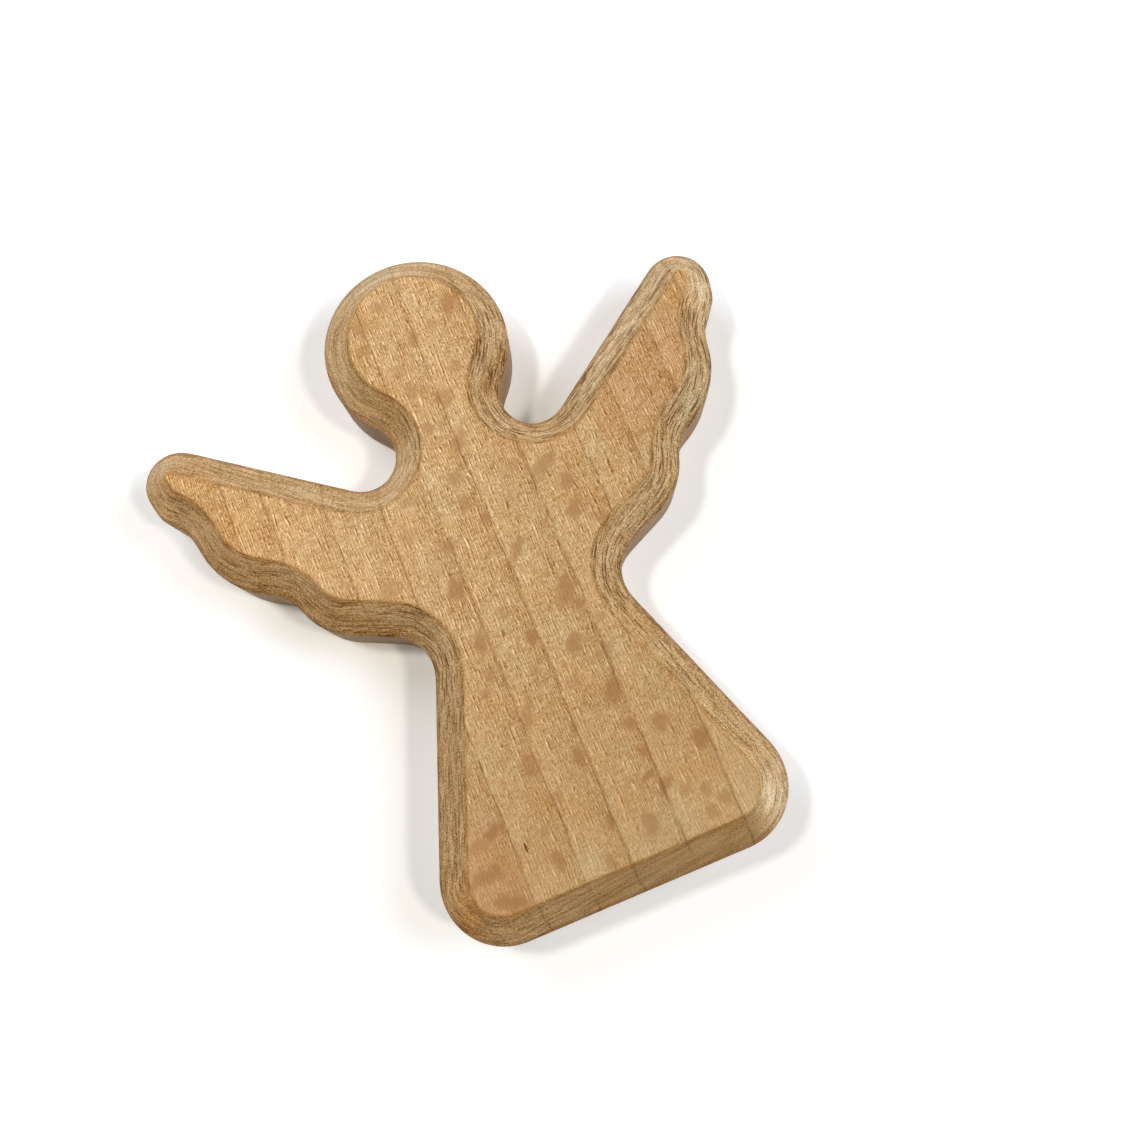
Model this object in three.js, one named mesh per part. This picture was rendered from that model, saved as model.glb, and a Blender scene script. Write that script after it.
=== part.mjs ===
// Wooden angel figure, cut in one piece from a flat beech board.
// It lies on its back with its front face up, its head toward +Y and its wings along X.
// The origin is on the back face, at the middle of the figure's width and height.

import * as THREE from 'three';

// Driving dimensions, in millimetres

// Board
const BOARD_THICKNESS = 11;
const CHAMFER = 3.6; // bevel at 45 degrees, all round the front edge

// Skirt
const HEM_WIDTH = 40.9;
const HEM_CORNER_RADIUS = 7.2;
const WAIST_WIDTH = 23.9;
const WAIST_HEIGHT = 32.5; // from the hem up to the narrowest place
const WAIST_FILLET_RADIUS = 4.9;

// Wings, whose lower edge has three feathers with a notch between each two
const WING_SPAN = 72.2;
const WING_TIP_RADIUS = 4;
const WING_TIP_FLANK = 1.8; // straight side between the wing tip and the upper feather
const WING_TIP_FLANK_LEAN = THREE.MathUtils.degToRad(12.4); // outward from upright
const UPPER_FEATHER_RADIUS = 3.2;
const UPPER_NOTCH_RADIUS = 6;
const MIDDLE_FEATHER_RADIUS = 10.8;
const MIDDLE_FEATHER_IN = 10.3; // inward from the centre of the wing tip
const MIDDLE_FEATHER_DROP = 7; // down from the centre of the wing tip
const LOWER_NOTCH_RADIUS = 5.5;
const LOWER_FEATHER_RADIUS = 7.6;
const LOWER_FEATHER_IN = 5.3; // inward from the centre of the middle feather
const LOWER_FEATHER_DROP = 10.7; // down from the centre of the middle feather
const UNDERWING_RISE = 1.15; // from the top of the waist fillet up to the lower feather

// Head
const HEAD_DIAMETER = 22.3;
const HEAD_ABOVE_TIPS = 5; // from the centres of the wing tips up to the centre of the head
const NECK_WIDTH = 13.8;
const NECK_FILLET_RADIUS = 4;

// Fineness of the round stretches
const ARC_STEP = THREE.MathUtils.degToRad(6);

// Rounds of the outline

// The outline is a belt drawn round a chain of circles. It walks the right half from the hem
// to the crown, keeps the wood on its left, and the left half is its mirror image.
// An outer round turns the belt left and an inner round, a fillet or notch, turns it right.

function outerRound(x, y, radius) {
  return { centre: new THREE.Vector2(x, y), radius, bend: radius };
}

function innerRound(x, y, radius) {
  return { centre: new THREE.Vector2(x, y), radius, bend: -radius };
}

// The outer round that comes before another one on the belt, a straight flank away.
function roundBefore(next, flank, heading, radius) {
  const along = new THREE.Vector2(Math.cos(heading), Math.sin(heading));
  const inward = new THREE.Vector2(-along.y, along.x);
  const centre = next.centre.clone().addScaledVector(along, -flank);
  centre.addScaledVector(inward, radius - next.radius);
  return outerRound(centre.x, centre.y, radius);
}

// The notch that touches two neighbouring feathers from outside the wood.
function notchBetween(first, second, radius) {
  const step = second.centre.clone().sub(first.centre);
  const gap = step.length();
  const along = step.clone().divideScalar(gap);
  const outward = new THREE.Vector2(along.y, -along.x);
  const reachFirst = first.radius + radius;
  const reachSecond = second.radius + radius;
  const foot = (gap ** 2 + reachFirst ** 2 - reachSecond ** 2) / (2 * gap);
  const height = Math.sqrt(reachFirst ** 2 - foot ** 2);
  const centre = first.centre.clone().addScaledVector(along, foot);
  centre.addScaledVector(outward, height);
  return innerRound(centre.x, centre.y, radius);
}

function roundsOfRightHalf() {
  const hemCorner = outerRound(HEM_WIDTH / 2 - HEM_CORNER_RADIUS, HEM_CORNER_RADIUS, HEM_CORNER_RADIUS);
  const waist = innerRound(WAIST_WIDTH / 2 + WAIST_FILLET_RADIUS, WAIST_HEIGHT, WAIST_FILLET_RADIUS);

  const lowerFeatherY = WAIST_HEIGHT + WAIST_FILLET_RADIUS + UNDERWING_RISE + LOWER_FEATHER_RADIUS;
  const middleFeatherY = lowerFeatherY + LOWER_FEATHER_DROP;
  const tipY = middleFeatherY + MIDDLE_FEATHER_DROP;
  const tipX = WING_SPAN / 2 - WING_TIP_RADIUS;
  const middleFeatherX = tipX - MIDDLE_FEATHER_IN;
  const wingTip = outerRound(tipX, tipY, WING_TIP_RADIUS);
  const flankHeading = Math.PI / 2 - WING_TIP_FLANK_LEAN;
  const upperFeather = roundBefore(wingTip, WING_TIP_FLANK, flankHeading, UPPER_FEATHER_RADIUS);
  const middleFeather = outerRound(middleFeatherX, middleFeatherY, MIDDLE_FEATHER_RADIUS);
  const lowerFeather = outerRound(middleFeatherX - LOWER_FEATHER_IN, lowerFeatherY, LOWER_FEATHER_RADIUS);
  const lowerNotch = notchBetween(lowerFeather, middleFeather, LOWER_NOTCH_RADIUS);
  const upperNotch = notchBetween(middleFeather, upperFeather, UPPER_NOTCH_RADIUS);

  const head = outerRound(0, tipY + HEAD_ABOVE_TIPS, HEAD_DIAMETER / 2);
  const neckX = NECK_WIDTH / 2 + NECK_FILLET_RADIUS;
  const neckDrop = Math.sqrt((head.radius + NECK_FILLET_RADIUS) ** 2 - neckX ** 2);
  const neck = innerRound(neckX, head.centre.y - neckDrop, NECK_FILLET_RADIUS);

  const feathers = [lowerFeather, lowerNotch, middleFeather, upperNotch, upperFeather];
  return [hemCorner, waist, ...feathers, wingTip, neck, head];
}

// Outline

// Heading of the belt where it runs straight from one round to the next.
function headingBetween(from, to) {
  const step = to.centre.clone().sub(from.centre);
  const lean = THREE.MathUtils.clamp((to.bend - from.bend) / step.length(), -1, 1);
  return Math.atan2(step.y, step.x) - Math.asin(lean);
}

// Turn from one heading to another in the round's own direction.
function turnOf(round, headingIn, headingOut) {
  const turn = THREE.MathUtils.euclideanModulo(headingOut - headingIn + Math.PI, 2 * Math.PI) - Math.PI;
  const wrongWay = turn * round.bend < 0 && Math.abs(turn) > Math.PI / 2;
  return wrongWay ? turn + Math.sign(round.bend) * 2 * Math.PI : turn;
}

// Stations from the middle of the hem to the crown, each a point and the direction into the wood.
function stationsOfRightHalf() {
  const rounds = roundsOfRightHalf();
  const stations = [{ point: new THREE.Vector2(0, 0), inward: new THREE.Vector2(0, 1) }];
  let heading = 0;
  rounds.forEach((round, index) => {
    const next = rounds[index + 1];
    const headingOut = next ? headingBetween(round, next) : Math.PI;
    const turn = turnOf(round, heading, headingOut);
    const steps = Math.max(1, Math.ceil(Math.abs(turn) / ARC_STEP));
    for (let step = 0; step <= steps; step += 1) {
      const angle = heading + (turn * step) / steps;
      const inward = new THREE.Vector2(-Math.sin(angle), Math.cos(angle));
      const point = round.centre.clone().addScaledVector(inward, -round.bend);
      stations.push({ point, inward });
    }
    heading = headingOut;
  });
  return stations;
}

// Point where two stretches of a line cross, or null.
function crossing(a, b, c, d) {
  const first = b.clone().sub(a);
  const second = d.clone().sub(c);
  const between = c.clone().sub(a);
  const area = first.cross(second);
  if (area === 0) {
    return null;
  }
  const alongFirst = between.cross(second) / area;
  const alongSecond = between.cross(first) / area;
  const inside = alongFirst >= 0 && alongFirst <= 1 && alongSecond >= 0 && alongSecond <= 1;
  return inside ? a.clone().addScaledVector(first, alongFirst) : null;
}

// Where the bevel is wider than an outer round, its inner edge would cross itself.
// Each such loop shrinks to the one sharp point where it crosses.
function shrinkLoops(points) {
  const shrunk = points.slice();
  for (let start = 0; start + 1 < shrunk.length; start += 1) {
    for (let end = shrunk.length - 2; end > start + 1; end -= 1) {
      const point = crossing(shrunk[start], shrunk[start + 1], shrunk[end], shrunk[end + 1]);
      if (point) {
        shrunk.fill(point, start + 1, end + 1);
        start = end - 1;
        break;
      }
    }
  }
  return shrunk;
}

// Closed ring from the right half: the left half follows as its mirror image.
function mirrored(points) {
  const left = points.slice(1, -1).reverse().map((point) => new THREE.Vector2(-point.x, point.y));
  return points.concat(left);
}

// Solid

class SolidBuilder {
  constructor() {
    this.positions = [];
    this.triangles = [];
  }

  // Points that repeat one after the other share a vertex.
  addRing(points, z) {
    const ring = [];
    points.forEach((point, index) => {
      const before = points[index - 1];
      if (before && before.distanceTo(point) < 1e-6) {
        ring.push(ring[index - 1]);
      } else {
        ring.push(this.positions.length / 3);
        this.positions.push(point.x, point.y, z);
      }
    });
    return ring;
  }

  addTriangle(a, b, c) {
    if (a !== b && b !== c && c !== a) {
      this.triangles.push(a, b, c);
    }
  }

  addBand(lower, upper) {
    lower.forEach((corner, index) => {
      const after = (index + 1) % lower.length;
      this.addTriangle(corner, lower[after], upper[after]);
      this.addTriangle(corner, upper[after], upper[index]);
    });
  }

  addFace(ring, facesUp) {
    const corners = ring.filter((corner, index) => corner !== ring[(index + 1) % ring.length]);
    const contour = corners.map((corner) => new THREE.Vector2().fromArray(this.positions, corner * 3));
    THREE.ShapeUtils.triangulateShape(contour, []).forEach(([a, b, c]) => {
      if (facesUp) {
        this.addTriangle(corners[a], corners[b], corners[c]);
      } else {
        this.addTriangle(corners[a], corners[c], corners[b]);
      }
    });
  }

  geometry() {
    const geometry = new THREE.BufferGeometry();
    geometry.setAttribute('position', new THREE.Float32BufferAttribute(this.positions, 3));
    geometry.setIndex(this.triangles);
    geometry.computeVertexNormals();
    return geometry;
  }
}

// The board's edge stands square on the back face, and the bevel leans in from it to the front face.
function angelGeometry() {
  const stations = stationsOfRightHalf();
  const edge = stations.map(({ point }) => point);
  const frontEdge = stations.map(({ point, inward }) => point.clone().addScaledVector(inward, CHAMFER));
  const crown = edge[edge.length - 1].y;

  const builder = new SolidBuilder();
  const back = builder.addRing(mirrored(edge), 0);
  const shoulder = builder.addRing(mirrored(edge), BOARD_THICKNESS - CHAMFER);
  const front = builder.addRing(mirrored(shrinkLoops(frontEdge)), BOARD_THICKNESS);
  builder.addFace(back, false);
  builder.addBand(back, shoulder);
  builder.addBand(shoulder, front);
  builder.addFace(front, true);
  return builder.geometry().translate(0, -crown / 2, 0);
}

const beech = new THREE.MeshStandardMaterial({
  color: 0xc49a68,
  roughness: 0.62,
  metalness: 0,
  flatShading: true,
});

const angelBody = new THREE.Mesh(angelGeometry(), beech);
angelBody.name = 'angel_body';

const angel = new THREE.Group();
angel.add(angelBody);

export default angel;
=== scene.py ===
import math
from collections import namedtuple

import bmesh
import bpy
import numpy as np
from mathutils import Matrix, Vector
from mathutils.geometry import delaunay_2d_cdt


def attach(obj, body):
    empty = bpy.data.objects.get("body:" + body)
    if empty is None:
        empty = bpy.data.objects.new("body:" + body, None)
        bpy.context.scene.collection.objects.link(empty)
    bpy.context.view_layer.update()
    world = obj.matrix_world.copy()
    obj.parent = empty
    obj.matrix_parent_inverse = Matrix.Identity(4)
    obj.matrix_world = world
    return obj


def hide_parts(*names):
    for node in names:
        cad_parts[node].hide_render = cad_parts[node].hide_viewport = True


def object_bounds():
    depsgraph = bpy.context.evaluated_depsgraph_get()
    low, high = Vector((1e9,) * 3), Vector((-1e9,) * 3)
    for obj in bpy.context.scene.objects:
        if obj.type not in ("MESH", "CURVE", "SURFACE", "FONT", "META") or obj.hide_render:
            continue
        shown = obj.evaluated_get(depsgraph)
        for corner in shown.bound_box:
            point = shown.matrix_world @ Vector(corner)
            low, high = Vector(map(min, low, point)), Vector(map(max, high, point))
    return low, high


# Wooden angel figure in bare beech, lying on its back on a pale table.
# Lengths are in millimetres up to the mesh, which is in metres like the frame.

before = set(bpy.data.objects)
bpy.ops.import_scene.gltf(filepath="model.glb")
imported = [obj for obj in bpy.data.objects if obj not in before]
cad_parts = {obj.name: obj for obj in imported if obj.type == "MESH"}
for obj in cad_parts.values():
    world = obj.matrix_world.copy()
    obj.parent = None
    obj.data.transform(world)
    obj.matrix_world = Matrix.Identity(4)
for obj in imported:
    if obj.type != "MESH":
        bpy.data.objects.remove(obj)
cad_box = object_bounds()

MM = 0.001
BOARD = "angel_body"

# Sanded edges
EDGE_STEP = 0.3  # spacing of points along the outline
EDGE_SMOOTHING = 0.45  # evens out the straight steps of the cut outline
SHOULDER_RADIUS = 0.22  # where the bevel meets the board's edge
ARRIS_RADIUS = 0.3  # where the bevel meets the front face
BACK_RADIUS = 0.3  # round the back face
BEVEL_WANDER = 0.06  # how far the bevel's inner edge strays
WANDER_SEED = 11
FACE_STEP = 0.3  # spacing of points on the front face
BACK_STEP = 2.0
BEVEL_RINGS = 11  # rings of points up the bevel
ARRIS_RINGS = 5  # and round into the front face
EDGE_RINGS = 8  # and down the board's edge
CORNER_ANGLES = (22.5, 45.0, 67.5, 90.0)  # of the rings round its back corner, in degrees
RING_SLACK = 0.004  # how much nearer the outline than its inset a point of a ring may lie

# Grain of the board
RAY_TILT = math.tan(math.radians(5.0))  # the rays climb toward the right wing
# Places across the board where a growth ring ends
RING_PLACES = (-46.0, -39.5, -33.5, -27.0, -22.9, -16.8, -10.8, -4.9)
RING_PLACES += (0.4, 6.8, 13.6, 19.0, 26.0, 31.2, 38.0)

# Ray flecks that show on the front face: place from the middle of the board, width, length,
# lean to the right in degrees, and depth of colour
Fleck = namedtuple("Fleck", "x y width length lean depth")
FLECK_REACH = 1.6  # how far from its middle a fleck is marked, with its edge at 1
FLECK_CURVE = 0.65  # lifts the fainter flecks
FLECKS = (
    # Head and neck
    Fleck(-2.0, 33.6, 1.8, 1.6, 20, 0.45),
    Fleck(5.4, 31.2, 1.6, 2.9, 25, 0.8),
    Fleck(-5.1, 32.0, 1.5, 2.3, 10, 0.5),
    Fleck(0.1, 28.3, 1.4, 1.7, 10, 0.7),
    Fleck(2.7, 29.3, 1.5, 1.4, 0, 0.45),
    Fleck(-5.6, 29.1, 1.3, 1.5, 0, 0.35),
    Fleck(-2.9, 25.5, 2.4, 1.6, 10, 0.3),
    Fleck(3.6, 23.4, 1.9, 1.4, 0, 0.4),
    Fleck(-2.2, 22.4, 2.1, 1.7, 15, 0.6),
    Fleck(0.8, 20.4, 2.0, 2.1, 15, 0.75),
    Fleck(-2.2, 17.6, 1.9, 1.4, 10, 0.6),
    Fleck(0.6, 15.0, 1.7, 2.6, 35, 0.7),
    # Chest and wings
    Fleck(-1.6, 10.7, 1.9, 1.9, 30, 0.65),
    Fleck(-7.5, 10.3, 2.4, 1.4, 20, 0.4),
    Fleck(-8.8, 6.6, 2.2, 1.7, 10, 0.6),
    Fleck(-1.7, 7.6, 1.6, 1.7, 10, 0.8),
    Fleck(-0.1, 5.2, 1.2, 1.7, 30, 0.8),
    Fleck(2.9, 6.2, 1.3, 1.4, 0, 0.4),
    Fleck(5.0, 9.6, 1.3, 1.5, 10, 0.4),
    Fleck(6.5, 10.7, 0.8, 1.6, 0, 0.6),
    Fleck(8.4, 8.3, 1.7, 4.0, 55, 0.85),
    Fleck(10.2, 5.7, 1.8, 2.7, 50, 0.9),
    Fleck(9.8, 2.3, 1.8, 2.7, 38, 0.85),
    Fleck(12.2, 0.2, 2.6, 1.4, 35, 0.6),
    Fleck(-5.2, 3.8, 1.5, 1.9, 30, 0.85),
    Fleck(-6.2, -1.3, 1.7, 2.7, 10, 1.0),
    Fleck(1.9, 0.5, 1.3, 3.1, 34, 1.0),
    Fleck(6.9, -2.6, 1.0, 1.4, 0, 0.5),
    Fleck(20.3, 7.5, 2.8, 0.7, 0, 0.5),
    Fleck(-13.2, 1.5, 3.4, 1.8, -20, 0.35),
    # Waist
    Fleck(-2.1, -5.7, 1.3, 1.6, 0, 0.35),
    Fleck(5.2, -6.0, 2.2, 3.5, 22, 0.9),
    Fleck(6.0, -8.1, 1.3, 1.5, 20, 0.85),
    Fleck(-5.9, -7.9, 1.8, 2.2, 15, 0.8),
    Fleck(-0.3, -9.5, 1.3, 1.9, 0, 1.0),
    Fleck(3.8, -11.9, 1.8, 2.6, 5, 0.95),
    Fleck(7.9, -10.3, 1.0, 1.0, -30, 0.6),
    Fleck(-6.1, -11.6, 1.3, 1.5, 0, 0.65),
    Fleck(-7.4, -13.4, 1.2, 1.4, 20, 0.6),
    Fleck(-1.4, -12.9, 1.0, 1.5, 0, 0.4),
    # Skirt
    Fleck(6.9, -14.0, 1.3, 1.8, 10, 0.65),
    Fleck(-3.9, -17.2, 1.4, 3.2, 20, 0.65),
    Fleck(9.7, -16.1, 1.3, 1.3, 0, 0.4),
    Fleck(2.2, -15.9, 1.8, 1.5, 0, 0.3),
    Fleck(5.8, -18.3, 1.6, 3.6, 28, 0.95),
    Fleck(0.3, -20.5, 1.1, 1.5, 0, 0.6),
    Fleck(-8.7, -21.1, 1.3, 1.6, 0, 0.3),
    Fleck(-5.9, -22.5, 1.9, 2.6, 15, 0.6),
    Fleck(-0.5, -23.7, 1.4, 2.1, 10, 0.85),
    Fleck(6.1, -22.5, 1.4, 1.5, 10, 0.6),
    Fleck(9.1, -23.7, 1.9, 2.1, 15, 0.75),
    Fleck(-4.4, -26.6, 1.4, 1.4, 20, 0.55),
    Fleck(6.4, -26.0, 1.1, 1.4, 0, 0.6),
    Fleck(12.6, -26.7, 2.0, 2.3, 15, 0.95),
    Fleck(-7.0, -29.7, 1.2, 1.3, 0, 0.45),
    Fleck(5.8, -28.4, 0.9, 2.1, 65, 0.8),
    Fleck(7.1, -30.0, 1.3, 2.3, 38, 0.95),
    Fleck(0.1, -31.3, 1.2, 1.9, 10, 0.85),
    Fleck(-6.7, -33.0, 1.3, 2.2, 0, 0.8),
    Fleck(3.9, -33.5, 1.8, 3.0, 0, 0.75),
    Fleck(8.8, -31.4, 1.3, 1.5, 0, 0.4),
    Fleck(11.0, -32.3, 1.4, 1.4, 0, 0.6),
    Fleck(12.5, -33.7, 1.7, 1.2, 20, 0.6),
    Fleck(10.6, -34.6, 1.3, 1.7, 0, 0.6),
    Fleck(-1.6, -35.4, 1.2, 1.9, 10, 0.65),
    # Long rays at the left corner of the hem
    Fleck(-12.1, -27.5, 3.4, 1.4, -26, 1.0),
    Fleck(-14.2, -28.4, 3.0, 1.4, -15, 0.45),
    Fleck(-14.6, -31.7, 4.4, 1.7, -8, 0.75),
    Fleck(-13.3, -35.1, 4.0, 1.5, 21, 0.75),
)

# A single open pore on the skirt
Pore = namedtuple("Pore", "x y width length")
PORE = Pore(-9.5, -30.45, 0.27, 1.05)

# Broad patches where the board is lighter or darker, and warmer or greyer, than elsewhere:
# place, width, length and lean as for the flecks, then how much lighter and how much warmer
Patch = namedtuple("Patch", "x y width length lean light warm")
FACE_PATCHES = (
    # Left wing
    Patch(-31.0, 22.0, 6, 9, -50, -0.12, 1.0),
    Patch(-26.0, 15.0, 8, 12, -55, 0.04, 1.5),
    Patch(-19.5, 6.5, 4, 16, -50, 0.12, 0.6),
    Patch(-18.0, 11.0, 9, 6, 0, 0.12, 0.0),
    Patch(-11.0, 4.5, 8, 8, 0, 0.09, 0.4),
    # Right wing
    Patch(24.0, 13.0, 10, 15, 35, -0.1, 0.4),
    Patch(22.0, 8.0, 8, 4, 0, -0.1, 0.5),
    Patch(31.5, 21.5, 4, 6, 35, 0.08, 0.5),
    # Head and neck
    Patch(-5.5, 31.0, 5, 6, 0, -0.06, 0.5),
    Patch(-6.0, 22.0, 4, 6, 20, -0.04, 0.7),
    Patch(7.0, 29.5, 3, 6, 0, -0.04, 0.5),
    Patch(0.0, 18.0, 9, 8, 0, 0.05, 0.1),
    # Skirt
    Patch(-14.0, -33.0, 8, 9, 20, -0.08, 1.3),
    Patch(0.0, -21.0, 34, 20, 0, -0.03, 0.2),
    Patch(2.0, -28.0, 30, 10, 0, -0.01, 0.3),
    Patch(1.0, -34.5, 20, 5, 0, 0.08, -0.2),
    Patch(13.0, -33.0, 8, 8, -30, 0.19, 0.4),
)
# The same on the bevel alone, from the right of the hem round over the head: partly the wood's own tone,
# partly painted light and shade for each stretch, with the greyer stretches standing in for a cool sheen of
# light
BEVEL_TONE_AND_PAINTED_LIGHT = (
    Patch(17.8, -36.0, 6, 8, -40, 0.53, -1.4),
    Patch(14.8, -20.5, 3.5, 22, -20, -0.2, -0.2),
    Patch(10.8, -6.0, 4, 9, 0, -0.12, -0.3),
    Patch(17.0, 0.0, 8, 4, -25, 0.0, -0.5),
    Patch(27.5, 9.8, 4.5, 12, 41, 0.07, -2.0),
    Patch(30.8, 15.0, 3.5, 3.5, 0, -0.25, 0.2),
    Patch(34.0, 20.9, 4, 10, 10, 0.48, -1.0),
    Patch(33.5, 25.7, 5, 4, 0, -0.08, -0.2),
    Patch(22.6, 19.9, 3.4, 22, 54, 0.4, -1.0),
    Patch(5.3, 18.0, 3, 5, 0, -0.08, 0.2),
    Patch(7.0, 21.5, 4, 10, 10, -0.2, 0.0),
    Patch(9.3, 28.7, 3.5, 8, 0, 0.12, 0.0),
    Patch(7.8, 34.6, 4, 6, -45, -0.22, 0.2),
    Patch(-0.2, 38.2, 14, 4, 0, 0.02, -0.8),
    Patch(-9.8, 30.0, 3, 10, 5, 0.22, 0.0),
    Patch(-8.0, 23.3, 3.5, 5, -35, 0.23, 0.5),
    Patch(-6.3, 15.3, 4, 7, 30, 0.36, -0.1),
    Patch(-32.6, 26.2, 4, 3, 0, 0.04, -1.1),
    Patch(-22.9, 19.9, 3.4, 18, -54, -0.15, -0.1),
    Patch(-34.2, 21.6, 3, 6, 15, 0.33, 1.1),
    Patch(-23.0, 4.3, 4.0, 26, -46, -0.15, 1.1),
    Patch(-14.8, -20.8, 3.5, 22, 20, -0.14, 0.0),
    Patch(-10.6, -6.5, 3.5, 7, 0, 0.18, 0.4),
    Patch(-18.2, -35.6, 4, 7, -10, 0.1, 3.0),
)

# Camera, in millimetres and in image directions
CAMERA_PLACE = Vector((-0.04, -26.42, 137.0))
CAMERA_RIGHT = Vector((0.9241, -0.3816, -0.0219))
CAMERA_UP = Vector((0.3789, 0.9072, 0.1829))
FOCAL_PIXELS = 1136
IMAGE_PIXELS = 1134
SENSOR_WIDTH = 36.0
NEAREST_SEEN = 5.0  # nothing closer is drawn

# Studio lights: direction in degrees round the board and above the table, distance and width in
# millimetres, share of the light that falls on the table, and warmth of its colour
Lamp = namedtuple("Lamp", "name azimuth elevation distance width share warmth")
LAMPS = (
    Lamp("window", 350, 38, 900, 555, 0.3, -0.1),
    Lamp("right_lamp", 318, 56, 900, 120, 0.21, 0.08),
    Lamp("left_lamp", 142, 65, 400, 59, 0.29, 0.03),
    Lamp("top_fill", 112, 32, 800, 528, 0.22, -0.07),
)
SKY_SHARE = 0.05


# Outline of the board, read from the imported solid


def solid_levels(node):
    """Heights of the solid's flat rings, from the back face up, in millimetres."""
    heights = {round(vertex.co.z / MM, 3) for vertex in node.data.vertices}
    return sorted(heights)


def outline_of(node):
    """The outline of the back face in order, as an array of points."""
    solid = bmesh.new()
    solid.from_mesh(node.data)
    bmesh.ops.remove_doubles(solid, verts=solid.verts, dist=0.001 * MM)
    solid.normal_update()
    rim = [edge for edge in solid.edges if is_back_rim(edge)]
    neighbours = {}
    for edge in rim:
        first, second = edge.verts
        neighbours.setdefault(first, []).append(second)
        neighbours.setdefault(second, []).append(first)
    start = rim[0].verts[0]
    walk = [start]
    before, here = start, neighbours[start][0]
    while here is not start:
        walk.append(here)
        ahead = [vertex for vertex in neighbours[here] if vertex is not before]
        before, here = here, ahead[0]
    points = np.array([vertex.co[:2] for vertex in walk]) / MM
    solid.free()
    return counter_clockwise(points)


def is_back_rim(edge):
    """Whether an edge lies between the back face and the board's edge."""
    leans = sorted(face.normal.z for face in edge.link_faces)
    return leans[0] < -0.9 and abs(leans[-1]) < 0.1


def counter_clockwise(points):
    after = np.roll(points, -1, axis=0)
    area = np.sum(points[:, 0] * after[:, 1] - after[:, 0] * points[:, 1])
    return points if area > 0 else points[::-1]


def evenly_spaced(points, step):
    """The closed outline with points a step apart."""
    closed = np.vstack([points, points[:1]])
    lengths = np.hypot(*np.diff(closed, axis=0).T)
    travelled = np.concatenate([[0.0], np.cumsum(lengths)])
    count = int(round(travelled[-1] / step))
    places = np.linspace(0.0, travelled[-1], count, endpoint=False)
    return np.stack([np.interp(places, travelled, closed[:, axis]) for axis in (0, 1)], axis=1)


def smoothed(points, step, width):
    """The closed outline averaged along itself with a bell of this width."""
    reach = int(math.ceil(3.0 * width / step))
    offsets = np.arange(-reach, reach + 1)
    weights = np.exp(-0.5 * (offsets * step / width) ** 2)
    weights /= weights.sum()
    return sum(weight * np.roll(points, -offset, axis=0) for offset, weight in zip(offsets, weights))


def inward_of(points):
    """Unit directions into the wood along a counter-clockwise outline."""
    along = np.roll(points, -1, axis=0) - np.roll(points, 1, axis=0)
    along /= np.hypot(along[:, 0], along[:, 1])[:, None]
    return np.stack([-along[:, 1], along[:, 0]], axis=1)


def distance_to(points, outline):
    """Distance from each point to the nearest stretch of the closed outline."""
    starts = outline
    spans = np.roll(outline, -1, axis=0) - outline
    squares = (spans ** 2).sum(axis=1)
    nearest = np.empty(len(points))
    batch = 1500
    for first in range(0, len(points), batch):
        some = points[first:first + batch, None, :]
        gaps = some - starts[None]
        shares = np.clip((gaps * spans[None]).sum(axis=2) / squares, 0.0, 1.0)
        misses = gaps - shares[..., None] * spans[None]
        nearest[first:first + batch] = np.sqrt((misses ** 2).sum(axis=2).min(axis=1))
    return nearest


def is_inside(points, outline):
    """Whether each point lies inside the closed outline, by counting crossings."""
    inside = np.zeros(len(points), bool)
    for start, end in zip(outline, np.roll(outline, -1, axis=0)):
        straddles = (start[1] > points[:, 1]) != (end[1] > points[:, 1])
        if start[1] != end[1]:
            crossing = start[0] + (points[:, 1] - start[1]) * (end[0] - start[0]) / (end[1] - start[1])
            inside ^= straddles & (points[:, 0] < crossing)
    return inside


# Form of the sanded board


class BoardForm:
    """Height of the front over the distance from the outline: edge, bevel and face with soft corners."""

    def __init__(self, back, shoulder, top):
        self.back = back
        self.shoulder = shoulder
        self.top = top
        self.bevel = top - shoulder
        eighth = math.tan(math.pi / 8)
        self.rim = shoulder - SHOULDER_RADIUS * eighth
        self.shoulder_end = SHOULDER_RADIUS * (1.0 - math.cos(math.pi / 4))
        self.arris_end = self.bevel + ARRIS_RADIUS * eighth
        self.arris_start = self.arris_end - ARRIS_RADIUS * math.sin(math.pi / 4)

    def height(self, inset):
        """Height at each inset from the outline."""
        on_shoulder = np.clip(inset, 0.0, self.shoulder_end)
        rise = np.sqrt(SHOULDER_RADIUS ** 2 - (SHOULDER_RADIUS - on_shoulder) ** 2)
        on_arris = np.clip(self.arris_end - inset, 0.0, ARRIS_RADIUS)
        drop = ARRIS_RADIUS - np.sqrt(ARRIS_RADIUS ** 2 - on_arris ** 2)
        height = self.shoulder + inset
        height = np.where(inset < self.shoulder_end, self.rim + rise, height)
        return np.where(inset > self.arris_start, self.top - drop, height)

    def insets(self):
        """Insets of the rings of points between the outline and the face."""
        shoulder = self.shoulder_end * np.array([0.08, 0.3, 0.62, 1.0])
        bevel = np.linspace(self.shoulder_end, self.arris_start, BEVEL_RINGS + 1)[1:]
        arris = np.linspace(self.arris_start, self.arris_end, ARRIS_RINGS + 1)[1:]
        return np.concatenate([shoulder, bevel, arris])


def wander(points, seed):
    """Slow, even unevenness from -1 to 1, the same on every run."""
    chance = np.random.default_rng(seed)
    total = np.zeros(len(points))
    waves = 7
    for _ in range(waves):
        heading = chance.uniform(0.0, 2.0 * math.pi)
        pitch = chance.uniform(0.25, 0.9)
        phase = chance.uniform(0.0, 2.0 * math.pi)
        total += np.sin(pitch * (points @ [math.cos(heading), math.sin(heading)]) + phase)
    return total / waves


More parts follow.
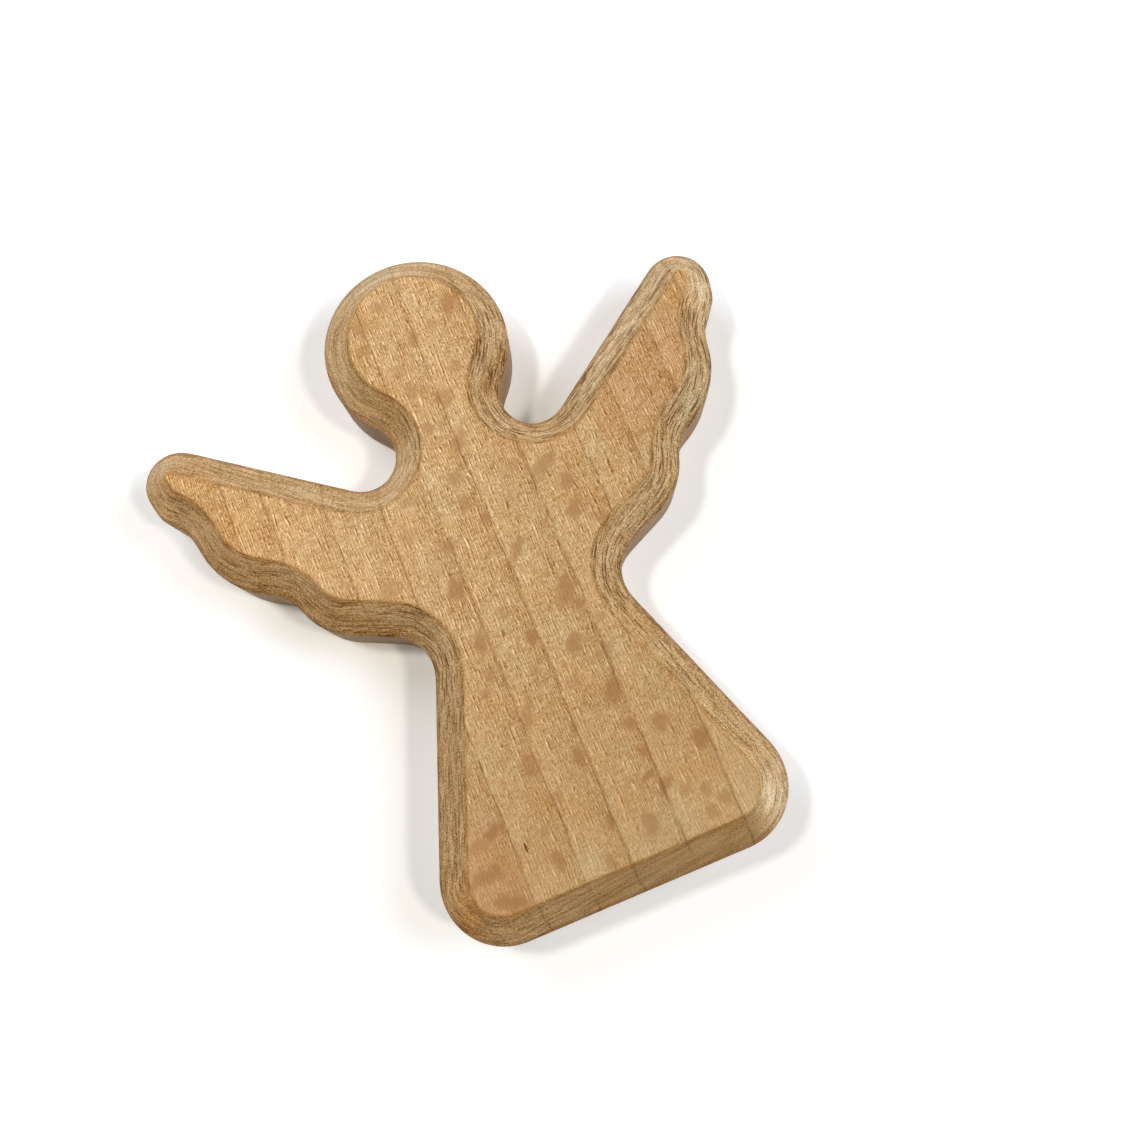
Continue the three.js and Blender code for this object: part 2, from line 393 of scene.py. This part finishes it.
def hexagonal_grid(outline, step):
    """Points over the outline's box in staggered rows."""
    low = outline.min(axis=0)
    high = outline.max(axis=0)
    row_step = step * math.sqrt(0.75)
    rows = np.arange(low[1], high[1], row_step)
    points = []
    for index, row in enumerate(rows):
        across = np.arange(low[0] + (index % 2) * step / 2, high[0], step)
        points.append(np.stack([across, np.full(len(across), row)], axis=1))
    return np.concatenate(points)


def filled(outline, inner_points):
    """Triangles that fill the outline, through the inner points, and each outline point's vertex."""
    flat = [Vector(point) for point in np.concatenate([outline, inner_points])]
    rim = list(range(len(outline)))
    made = delaunay_2d_cdt(flat, [], [rim], 1, 1e-6)
    points = np.array([tuple(point) for point in made[0]])
    triangles = [tuple(triangle) for triangle in made[2]]
    rim_vertices = [None] * len(outline)
    for vertex, sources in enumerate(made[3]):
        for source in sources:
            if source < len(outline):
                rim_vertices[source] = vertex
    return points, triangles, rim_vertices


def front_points(outline, form):
    """Points of the bevel and the front face inside the outline."""
    inward = inward_of(outline)
    rings = []
    for inset in form.insets():
        ring = outline + inward * inset
        clear = distance_to(ring, outline) > inset - RING_SLACK
        rings.append(ring[clear])
    grid = hexagonal_grid(outline, FACE_STEP)
    grid = grid[is_inside(grid, outline)]
    on_face = distance_to(grid, outline) > form.arris_end + 0.5 * FACE_STEP
    return np.concatenate(rings + [grid[on_face]])


def reach_of(points, spot):
    """Distance of each point from the middle of a leaning oval, which has its edge at 1."""
    angle = math.radians(spot.lean)
    across = points[:, 0] - spot.x
    along = points[:, 1] - spot.y
    sideways = (across * math.cos(angle) - along * math.sin(angle)) / (spot.width / 2)
    lengthways = (across * math.sin(angle) + along * math.cos(angle)) / (spot.length / 2)
    return np.hypot(sideways, lengthways)


def fleck_marks(points):
    """How near each point is to the middle of a ray fleck, and that fleck's depth of colour."""
    nearness = np.zeros(len(points))
    depth = np.zeros(len(points))
    for fleck in FLECKS:
        near = np.clip(FLECK_REACH - reach_of(points, fleck), 0.0, FLECK_REACH)
        closer = near > nearness
        nearness[closer] = near[closer]
        depth[closer] = fleck.depth ** FLECK_CURVE
    return nearness, depth


def patch_shares(points, patches):
    """How much lighter and how much warmer the broad patches make each point."""
    lighter = np.zeros(len(points))
    warmer = np.zeros(len(points))
    for patch in patches:
        share = np.exp(-(reach_of(points, patch) ** 2))
        lighter += patch.light * share
        warmer += patch.warm * share
    return lighter, warmer


class BoardMesh:
    """Points of the closed board with their insets, and its faces, gathered from the front to the back."""

    def __init__(self):
        self.points = []
        self.insets = []
        self.faces = []
        self.count = 0

    def add_points(self, flat, heights, insets):
        """Adds points over the plan's places and gives their numbers."""
        self.points.append(np.column_stack([flat, np.broadcast_to(heights, len(flat))]))
        self.insets.append(np.broadcast_to(insets, len(flat)))
        first = self.count
        self.count += len(flat)
        return list(range(first, self.count))

    def add_front(self, outline, form):
        """Bevel and front face. Gives the numbers of the outline's points."""
        flat, triangles, rim = filled(outline, front_points(outline, form))
        inset = distance_to(flat, outline)
        inset[rim] = 0.0
        stray = BEVEL_WANDER * wander(flat, WANDER_SEED) * np.clip(inset, 0.0, 1.0)
        self.add_points(flat, form.height(inset + stray), inset)
        self.faces += triangles
        return rim

    def add_edge(self, outline, form, rim):
        """The board's edge, in rings down to the rounded back corner. Gives the last ring's numbers."""
        inward = inward_of(outline)
        drops = np.linspace(form.rim, form.back + BACK_RADIUS, EDGE_RINGS + 1)[1:]
        levels = [(height, 0.0) for height in drops]
        for angle in np.radians(CORNER_ANGLES):
            height = form.back + BACK_RADIUS * (1.0 - math.sin(angle))
            levels.append((height, BACK_RADIUS * (1.0 - math.cos(angle))))
        above = rim
        for height, tuck in levels:
            below = self.add_points(outline + inward * tuck, height, height - form.rim)
            for index, corner in enumerate(below):
                after = (index + 1) % len(below)
                self.faces.append((corner, below[after], above[after], above[index]))
            above = below
        return above

    def add_back(self, outline, form, last_ring):
        """The flat back face inside the edge's last ring."""
        back_ring = outline + inward_of(outline) * BACK_RADIUS
        grid = hexagonal_grid(back_ring, BACK_STEP)
        grid = grid[is_inside(grid, back_ring)]
        grid = grid[distance_to(grid, back_ring) > 0.6 * BACK_STEP]
        flat, triangles, rim = filled(back_ring, grid)
        number_of = dict(zip(rim, last_ring))
        inner = [vertex for vertex in range(len(flat)) if vertex not in number_of]
        numbers = self.add_points(flat[inner], form.back, form.back - form.rim)
        number_of.update(zip(inner, numbers))
        self.faces += [tuple(number_of[corner] for corner in reversed(triangle)) for triangle in triangles]


def angel_board(solid, form):
    """The whole figure as one closed mesh, with its insets, flecks and patches kept on its points."""
    outline = smoothed(evenly_spaced(outline_of(solid), EDGE_STEP), EDGE_STEP, EDGE_SMOOTHING)
    gathered = BoardMesh()
    rim = gathered.add_front(outline, form)
    last_ring = gathered.add_edge(outline, form, rim)
    gathered.add_back(outline, form, last_ring)
    points = np.concatenate(gathered.points)
    insets = np.concatenate(gathered.insets)

    lighter, warmer = patch_shares(points, FACE_PATCHES)
    bevel_tone_and_painted_light, bevel_warmth_and_painted_tint = patch_shares(points, BEVEL_TONE_AND_PAINTED_LIGHT)
    on_bevel = (insets > -0.01) & (insets < form.bevel)
    nearness, depth = fleck_marks(points)
    on_front = insets > form.bevel - 2 * ARRIS_RADIUS
    mesh = bpy.data.meshes.new("angel_board")
    mesh.from_pydata((points * MM).tolist(), [], gathered.faces)
    mesh.validate()
    mesh.shade_smooth()
    keep_on_points(mesh, "inset", insets)
    keep_on_points(mesh, "fleck", np.where(on_front, nearness, 0.0))
    keep_on_points(mesh, "fleck_depth", depth)
    # On the bevel the patches add painted light and shade to the wood's own tone
    keep_on_points(mesh, "lighter", lighter + np.where(on_bevel, bevel_tone_and_painted_light, 0.0))
    keep_on_points(mesh, "warmer", warmer + np.where(on_bevel, bevel_warmth_and_painted_tint, 0.0))
    board = bpy.data.objects.new("angel_board", mesh)
    bpy.context.scene.collection.objects.link(board)
    return board


def keep_on_points(mesh, name, values):
    """Stores one number for each point of the mesh."""
    attribute = mesh.attributes.new(name, "FLOAT", "POINT")
    attribute.data.foreach_set("value", values.astype(np.float32))


# Shader sockets


class Signal:
    """An output socket of a shader. Sums and products of signals add Math nodes."""

    def __init__(self, shader, socket):
        self.shader = shader
        self.socket = socket

    def output(self, key):
        """Another output of the same node."""
        return Signal(self.shader, self.socket.node.outputs[key])

    def maths(self, operation, *others):
        return self.shader.node("ShaderNodeMath", {"operation": operation}, [self, *others])

    def __add__(self, other):
        return self.maths("ADD", other)

    __radd__ = __add__

    def __sub__(self, other):
        return self.maths("SUBTRACT", other)

    def __rsub__(self, other):
        return self.shader.node("ShaderNodeMath", {"operation": "SUBTRACT"}, [other, self])

    def __mul__(self, other):
        return self.maths("MULTIPLY", other)

    __rmul__ = __mul__

    def __truediv__(self, other):
        return self.maths("DIVIDE", other)

    def ramp(self, low, high):
        """Rises smoothly from 0 at low to 1 at high, or falls where high is the lower one."""
        values = {"Value": self, "From Min": low, "From Max": high}
        return self.shader.node("ShaderNodeMapRange", {"interpolation_type": "SMOOTHSTEP"}, values)


class Shader:
    """The node tree of a material or of the world."""

    def __init__(self, owner):
        owner.use_nodes = True
        self.tree = owner.node_tree
        self.tree.nodes.clear()

    def node(self, kind, settings=None, sockets=None):
        """A new node: settings first, then the values or links of its sockets. Gives its first output."""
        made = self.tree.nodes.new(kind)
        for name, value in (settings or {}).items():
            if name == "curve":
                draw_curve(made.mapping, value)
            else:
                setattr(made, name, value)
        pairs = sockets.items() if isinstance(sockets, dict) else enumerate(sockets or [])
        for key, value in pairs:
            if isinstance(value, Signal):
                self.tree.links.new(value.socket, made.inputs[key])
            else:
                made.inputs[key].default_value = value
        return Signal(self, made.outputs[0]) if made.outputs else None

    def mix(self, factor, first, second, blend="MIX"):
        """Two colours mixed by a factor."""
        settings = {"data_type": "RGBA", "blend_type": blend, "clamp_factor": False}
        return self.node("ShaderNodeMix", settings, {0: factor, 6: first, 7: second}).output(2)

    def stretched(self, place, stretch):
        """A place with each of its axes multiplied."""
        return self.node("ShaderNodeVectorMath", {"operation": "MULTIPLY"}, [place, stretch])

    def axes(self, place):
        """The coordinates of a place."""
        x = self.node("ShaderNodeSeparateXYZ", None, [place])
        return x, x.output("Y"), x.output("Z")

    def joined(self, x, y, z):
        """The place with these coordinates."""
        return self.node("ShaderNodeCombineXYZ", None, [x, y, z])

    def kept(self, name):
        """A number kept on the points of the mesh."""
        return self.node("ShaderNodeAttribute", {"attribute_name": name}).output("Fac")

    def noise(self, place, stretch, detail=2.0, roughness=0.5):
        """Noise from 0 to 1 with this many swings for each millimetre along each axis."""
        sockets = {"Vector": self.stretched(place, stretch), "Scale": 1.0}
        sockets.update({"Detail": detail, "Roughness": roughness})
        return self.node("ShaderNodeTexNoise", {"noise_dimensions": "3D"}, sockets)


def draw_curve(mapping, corners):
    """A curve of straight stretches through these corners, which run from 0 to 1."""
    curve = mapping.curves[0]
    curve.points[0].location = corners[0]
    curve.points[1].location = corners[-1]
    for corner in corners[1:-1]:
        curve.points.new(*corner)
    for point in curve.points:
        point.handle_type = "VECTOR"
    mapping.update()


def grey(level):
    return (level, level, level, 1.0)


# Beech


# Each pair is the colour of the dark and of the light fibres
FACE_FIBRES = (0.39, 0.2, 0.056, 1.0), (0.71, 0.482, 0.243, 1.0)
BEVEL_FIBRES = (0.355, 0.189, 0.05, 1.0), (0.692, 0.47, 0.242, 1.0)
WARM_TINT = (1.0, 0.93, 0.84)
# The board's edge is painted darker and greyer as shade
EDGE_PAINTED_SHADE = (0.73, 0.74, 0.72, 1.0)
RIM_TINT = (0.74, 0.67, 0.61, 1.0)
# The hem's bevel is browner end grain, and is also painted darker as shade
HEM_END_GRAIN_AND_PAINTED_SHADE = (0.7, 0.63, 0.49, 1.0)
ARRIS_TINT = (0.88, 0.78, 0.62, 1.0)
ROSY_TINT = (1.0, 0.97, 1.03, 1.0)
FLECK_TINT = (0.75, 0.64, 0.54, 1.0)
RING_TINT = (0.67, 0.59, 0.51, 1.0)
DASH_TINT = (0.31, 0.19, 0.08, 1.0)

# Sizes of the grain
RING_WIDTH = 6.0  # of a usual growth ring
RING_LINE = 0.28  # half the width of the dark line at a ring's end
RING_DRIFT = 0.6  # how far the line strays slowly
RING_SHAKE = 0.5  # and quickly
FINE_STRAND = 0.25, 0.48  # pitch across the board, and length
COARSE_STRAND = 0.41, 0.85
LONG_RAY = 3.6, 3.0, 0.36  # across the board, along it and through it
SHORT_RAY = 1.9, 1.9, 0.3
LEAF = 7.0, 5.0, 0.45  # broad layers between the rays


class Spots:
    """Where a point lies on the board, and its share from 0 to 1 in the areas that differ in looks."""

    def __init__(self, wood, form):
        metres = wood.node("ShaderNodeTexCoord").output("Object")
        self.place = wood.stretched(metres, (1 / MM, 1 / MM, 1 / MM))
        self.x, self.y, _ = wood.axes(self.place)
        self.inset = wood.kept("inset")
        self.past_arris = self.inset - form.bevel
        above_back = self.inset - (form.back - form.rim)
        self.on_back = above_back.ramp(0.16, 0.02)
        self.on_face = self.past_arris.ramp(-ARRIS_RADIUS / 2, ARRIS_RADIUS / 2) + self.on_back
        self.on_bevel = self.inset.ramp(-0.1, 0.12) * (1 - self.on_face)
        self.hem = self.y.ramp(-35.0, -36.3) * self.x.ramp(-22.0, 4.0) * self.x.ramp(17.0, 14.0)
        self.left_corner = self.x.ramp(-9.0, -12.5) * self.y.ramp(-23.0, -27.0)
        self.right_wing = self.x.ramp(14.0, 22.0) * self.y.ramp(5.0, 11.0) * self.y.ramp(22.0, 18.0)


def growth_rings(wood, place, front):
    """The dark line at each ring's end, and the season from early wood at 0 to late wood at 1."""
    x, _, z = wood.axes(place)
    drift = wood.noise(place, (0.05, 0.06, 0.05), 1.0)
    shake = wood.noise(place, (0.7, 0.4, 0.7), 2.0)
    leaning = x + RAY_TILT * z + RING_DRIFT * drift + RING_SHAKE * shake
    mean_sway = 0.5 * (RING_DRIFT + RING_SHAKE)
    first, last = RING_PLACES[0], RING_PLACES[-1]
    across = (leaning - (first + RAY_TILT * front + mean_sway)) / (last - first)
    steps = len(RING_PLACES) - 1
    corners = [((ring - first) / (last - first), index / steps) for index, ring in enumerate(RING_PLACES)]
    age = wood.node("ShaderNodeFloatCurve", {"curve": corners}, {"Value": across}) * steps
    season = age.maths("FRACT")
    from_line = season.maths("MINIMUM", 1 - season) * RING_WIDTH
    broken = wood.noise(place, (0.3, 0.35, 0.3), 2.0).ramp(0.3, 0.65)
    line = from_line.ramp(RING_LINE, 0.0) * (0.3 + 0.7 * broken)
    return line, season


def strands(wood, place, pitch, length):
    """Thin light strands along the board, each beside a dark pore and with stretches of its own."""
    x, y, z = wood.axes(place)
    sway = wood.noise(place, (1.1, 0.2, 1.1), 1.0)
    across = (x + 0.6 * z + 0.8 * sway) / pitch
    strand = across.maths("FLOOR")
    start = wood.node("ShaderNodeTexWhiteNoise", {"noise_dimensions": "1D"}, {"W": strand})
    along = wood.joined(strand * 7.3, y / length + 40.0 * start, 0.0)
    shown = wood.noise(along, (1.0, 1.0, 1.0), 1.0).ramp(0.42, 0.66)
    share = across.maths("FRACT")
    crest = share.ramp(0.1, 0.35) * share.ramp(0.6, 0.35)
    pore = share.ramp(0.5, 0.7) * share.ramp(0.95, 0.7)
    return shown * (crest - 0.7 * pore)


def fibres(wood, place):
    """Fine strands along the board, threads across it, sparkle and mottle, about 0.5 on average."""
    fine = strands(wood, place, *FINE_STRAND)
    coarse = strands(wood, place, *COARSE_STRAND)
    thread = wood.noise(place, (1.3, 4.6, 4.6), 0.0)
    sparkle = wood.noise(place, (5.6, 5.0, 5.6), 1.0, 0.7)
    broad = wood.noise(place, (0.9, 0.35, 0.9), 2.0, 0.7)
    mottle = wood.noise(place, (0.5, 0.4, 0.5), 2.0, 0.8)
    return 0.8 * fine + 0.75 * coarse + 0.6 * thread + 1.5 * sparkle + 0.55 * broad + 0.5 * mottle - 1.17


def dashes(wood, ribbon_place):
    """Short thin marks, one in each cell of the place, from 0 to their own depth of colour."""
    settings = {"voronoi_dimensions": "3D"}
    cell = wood.node("ShaderNodeTexVoronoi", settings, {"Vector": ribbon_place, "Scale": 1.0})
    depth = wood.node("ShaderNodeSeparateColor", None, [cell.output("Color")])
    ends = [ribbon_place, cell.output("Position")]
    offset = wood.node("ShaderNodeVectorMath", {"operation": "SUBTRACT"}, ends)
    thinned = wood.stretched(offset, (1.0, 1.0, 1.7))
    reach = wood.node("ShaderNodeVectorMath", {"operation": "LENGTH"}, [thinned])
    return reach.output("Value").ramp(0.48, 0.3) * (0.4 + 0.6 * depth)


def cut_rays(wood, place):
    """Dark dashes where the bevel cuts the rays, which are thin ribbons almost flat in the board."""
    x, y, z = wood.axes(place)
    layer = z - RAY_TILT * x + 0.4 * wood.noise(place, (0.2, 0.2, 0.2), 1.0)

    def ribbons(size, start=0.0):
        across, along, through = size
        return wood.joined(x / across, y / along, layer / through + start)

    dash = dashes(wood, ribbons(LONG_RAY)).maths("MAXIMUM", dashes(wood, ribbons(SHORT_RAY, 31.7)))
    leaves = wood.noise(ribbons(LEAF), (1.0, 1.0, 1.0), 1.0, 0.8)
    return dash, leaves


def smoothness(spots):
    """How far the bevel's dashes fade: most at the hem and the crown, least on the left wing's lobes."""
    x, y = spots.x, spots.y
    upper_left = 0.5 * x.ramp(-3.0, -7.0) * (y + 0.73 * x).ramp(-4.0, 0.0)
    left_lobes = 0.3 * x.ramp(-12.0, -15.0) * y.ramp(-3.0, 0.0)
    crown = 0.7 * y.ramp(31.0, 36.0)
    skirt = 0.33 * y.ramp(-9.0, -15.0)
    smoothest = 0.75 * spots.hem
    for smooth in (upper_left, left_lobes, crown, skirt):
        smoothest = smoothest.maths("MAXIMUM", smooth)
    return smoothest


def ray_flecks(wood, spots, ragged):
    """Ray flecks: the placed ones on the front, with ragged edges, and scattered ones on the back."""
    nearness = wood.kept("fleck") + 1.5 * (ragged - 0.5)
    placed = nearness.ramp(0.15, 1.1) * wood.kept("fleck_depth")
    scattered = wood.noise(spots.place, (0.45, 0.35, 0.45), 1.0).ramp(0.6, 0.68)
    return placed + 0.7 * spots.on_back * scattered


def open_pore(spots):
    """The single pore, from 0 outside it to 1 along its middle."""
    sideways = (spots.x - PORE.x) / (PORE.width / 2)
    lengthways = (spots.y - PORE.y) / (PORE.length / 2)
    return (sideways * sideways + lengthways * lengthways).ramp(1.6, 0.6) * spots.on_face


def bare_colour(wood, spots, face_tone, bevel_tone):
    """Colour of the fibres on the face and on the bevel, with the broad patches, which also paint light and
    shade on the bevel, and a painted light falloff across the face.
    """
    lighter = wood.kept("lighter")
    face_colour = wood.mix(face_tone + lighter, *FACE_FIBRES)
    bevel_colour = wood.mix(bevel_tone + lighter, *BEVEL_FIBRES)
    colour = wood.mix(spots.on_face, bevel_colour, face_colour)
    # Painted light: the face is painted a little lighter toward the head and the left, as the light falls
    # off across it
    painted_light_falloff = 1 + spots.on_face * (0.003 * spots.y - 0.0017 * spots.x)
    warmer = wood.kept("warmer") + 3.0 * (wood.noise(spots.place, (0.3, 0.22, 0.3), 2.0) - 0.5)
    warmth = [painted_light_falloff * (1 - (1 - channel) * warmer) for channel in WARM_TINT]
    return wood.mix(1.0, colour, wood.joined(*warmth), "MULTIPLY")


def edge_tints(wood, spots, colour, ragged):
    """The colour made darker: painted shade on the board's edge, at its rim, along the hem, where the
    browner end grain also takes painted shade, and under the arris.
    """
    under_arris = spots.past_arris.ramp(-0.65, -0.2) * spots.past_arris.ramp(0.25, 0.05)
    tints = (
        (spots.inset.ramp(-0.02, -0.3) - spots.on_back, EDGE_PAINTED_SHADE),
        (spots.inset.ramp(0.65, 0.15) - spots.on_back, RIM_TINT),
        (spots.hem * spots.on_bevel, HEM_END_GRAIN_AND_PAINTED_SHADE),
        (under_arris * (0.3 + 1.2 * ragged), ARRIS_TINT),
    )
    for share, tint in tints:
        colour = wood.mix(share, colour, tint, "MULTIPLY")
    return colour


def beech(form):
    """Bare beech, planed and sanded: rings as lines along the board, rays as flecks and short dashes."""
    material = bpy.data.materials.new("beech")
    wood = Shader(material)
    spots = Spots(wood, form)
    place = spots.place

    # Grain
    ragged = wood.noise(place, (1.6, 0.8, 1.6), 2.0)
    speckle = wood.noise(place, (5.0, 5.0, 5.0), 1.0, 0.8)
    speckle = 0.5 + (speckle - 0.5) * (1 - 0.4 * spots.hem)
    ring_line, season = growth_rings(wood, place, form.top)
    fleck = ray_flecks(wood, spots, ragged)
    pore = open_pore(spots)
    dash, leaves = cut_rays(wood, place)
    dash = dash * spots.on_bevel * (1 - smoothness(spots))
    # Fibres stand out less toward the hem and the right, and at the left corner
    swing = (0.71 + 0.46 * spots.y.ramp(-40.0, 0.0) - 0.004 * spots.x) * (1 - 0.25 * spots.left_corner)
    fibre = 0.5 + (fibres(wood, place) - 0.5) * swing * (1 - 0.75 * fleck)

    # Colour
    face_tone = fibre + 0.12 - 0.24 * season
    bevel_tone = 0.58 + 3.3 * (speckle - 0.5) + 1.5 * (leaves - 0.5) + 0.3 * (fibre - 0.5)
    colour = bare_colour(wood, spots, face_tone, bevel_tone)
    colour = edge_tints(wood, spots, colour, ragged)
    ring_share = ring_line * (0.75 + 0.25 * spots.on_face + 0.2 * spots.hem)
    colour = wood.mix(ring_share, colour, RING_TINT, "MULTIPLY")
    rosy = spots.right_wing.maths("MAXIMUM", spots.left_corner) * spots.on_face
    colour = wood.mix(rosy, colour, ROSY_TINT, "MULTIPLY")
    colour = wood.mix(fleck, colour, FLECK_TINT, "MULTIPLY")
    colour = wood.mix(dash + pore, colour, DASH_TINT, "MULTIPLY")

    # Surface
    relief = fibre - 0.5 * dash + 0.25 * speckle
    bumps = {"Height": relief, "Strength": 0.4, "Distance": 0.05 * MM}
    normal = wood.node("ShaderNodeBump", None, bumps)
    roughness = 0.46 + 0.12 * fibre - 0.08 * fleck + 0.35 * (dash + pore)
    surface = {"Base Color": colour, "Roughness": roughness, "Normal": normal, "Specular IOR Level": 0.22}
    shader = wood.node("ShaderNodeBsdfPrincipled", None, surface)
    wood.node("ShaderNodeOutputMaterial", None, {"Surface": shader})
    return material


# Table, lights and camera


FLOOR_COLOUR = (0.9, 0.85, 0.74, 1.0)
SKY_COLOUR = (1.1, 1.0, 0.75, 1.0)
FLOOR_GLOW = (0.165, 0.158, 0.14, 1.0)
TABLE_HALF = 1500.0
TABLE_GAP = 0.01  # below the figure
WHITE_FROM = 110.0  # distance from the middle at which the table starts to go over into white
WHITE_BY = 250.0


def seen_directly(shader):
    """1 for what the camera sees, straight or in gloss and glass, and 0 for light on the object."""
    path = shader.node("ShaderNodeLightPath")
    seen = path.output("Is Camera Ray").maths("MAXIMUM", path.output("Is Glossy Ray"))
    return seen.maths("MAXIMUM", path.output("Is Transmission Ray"))


def table():
    """A plain pale table top under the figure, which goes over into white away from it."""
    half = TABLE_HALF * MM
    corners = [(-half, -half, 0.0), (half, -half, 0.0), (half, half, 0.0), (-half, half, 0.0)]
    mesh = bpy.data.meshes.new("table_top")
    mesh.from_pydata(corners, [], [(0, 1, 2, 3)])
    top = bpy.data.objects.new("table_top", mesh)
    top.location.z = cad_box[0].z - TABLE_GAP * MM
    bpy.context.scene.collection.objects.link(top)
    material = bpy.data.materials.new("table_white")
    paint = Shader(material)
    seen = seen_directly(paint)
    place = paint.node("ShaderNodeTexCoord").output("Object")
    distance = paint.node("ShaderNodeVectorMath", {"operation": "LENGTH"}, [place]).output("Value")
    far = distance.ramp(WHITE_FROM * MM, WHITE_BY * MM)
    colour = paint.mix(seen, FLOOR_COLOUR, paint.mix(far, grey(1.0), grey(0.0)))
    glow = paint.mix(seen, grey(0.0), paint.mix(far, FLOOR_GLOW, grey(1.0)))
    matt = {"Base Color": colour, "Roughness": 1.0, "Specular IOR Level": 0.0}
    matt.update({"Emission Color": glow, "Emission Strength": 1.0})
    surface = paint.node("ShaderNodeBsdfPrincipled", None, matt)
    paint.node("ShaderNodeOutputMaterial", None, {"Surface": surface})
    mesh.materials.append(material)


def studio_lights():
    """Soft lamps round the figure, each giving its share of a light under which colours look as written."""
    for lamp in LAMPS:
        azimuth = math.radians(lamp.azimuth)
        elevation = math.radians(lamp.elevation)
        level = math.cos(elevation)
        toward = Vector((level * math.cos(azimuth), level * math.sin(azimuth), math.sin(elevation)))
        data = bpy.data.lights.new(lamp.name, "AREA")
        data.shape = "DISK"
        data.size = lamp.width * MM
        data.energy = lamp.share * (math.pi * lamp.distance * MM) ** 2 / math.sin(elevation)
        data.color = (1.0 + lamp.warmth, 1.0, 1.0 - 2.0 * lamp.warmth)
        light = bpy.data.objects.new(lamp.name, data)
        light.location = toward * lamp.distance * MM
        light.rotation_euler = toward.to_track_quat("Z", "Y").to_euler()
        light.visible_camera = False
        bpy.context.scene.collection.objects.link(light)


def room():
    """Even light from all round, and a white view past the table's edge."""
    world = bpy.data.worlds.new("room")
    air = Shader(world)
    seen = seen_directly(air)
    strength = SKY_SHARE + (1.0 - SKY_SHARE) * seen
    colour = air.mix(seen, SKY_COLOUR, grey(1.0))
    sky = air.node("ShaderNodeBackground", None, {"Color": colour, "Strength": strength})
    air.node("ShaderNodeOutputWorld", None, {"Surface": sky})
    bpy.context.scene.world = world


def camera():
    """The photograph's viewpoint: close above the skirt, turned so that the figure leans left."""
    data = bpy.data.cameras.new("camera")
    data.sensor_width = SENSOR_WIDTH
    data.lens = SENSOR_WIDTH * FOCAL_PIXELS / IMAGE_PIXELS
    data.clip_start = NEAREST_SEEN * MM
    right = CAMERA_RIGHT.normalized()
    back = right.cross(CAMERA_UP).normalized()
    up = back.cross(right)
    turn = Matrix((right, up, back)).transposed()
    eye = bpy.data.objects.new("camera", data)
    eye.matrix_world = Matrix.Translation(CAMERA_PLACE * MM) @ turn.to_4x4()
    bpy.context.scene.collection.objects.link(eye)
    bpy.context.scene.camera = eye


bpy.context.scene.view_settings.view_transform = "Standard"
camera()
table()
room()
studio_lights()

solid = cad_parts[BOARD]
form = BoardForm(*solid_levels(solid))
angel = angel_board(solid, form)
angel.data.materials.append(beech(form))
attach(angel, "root")
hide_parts(BOARD)
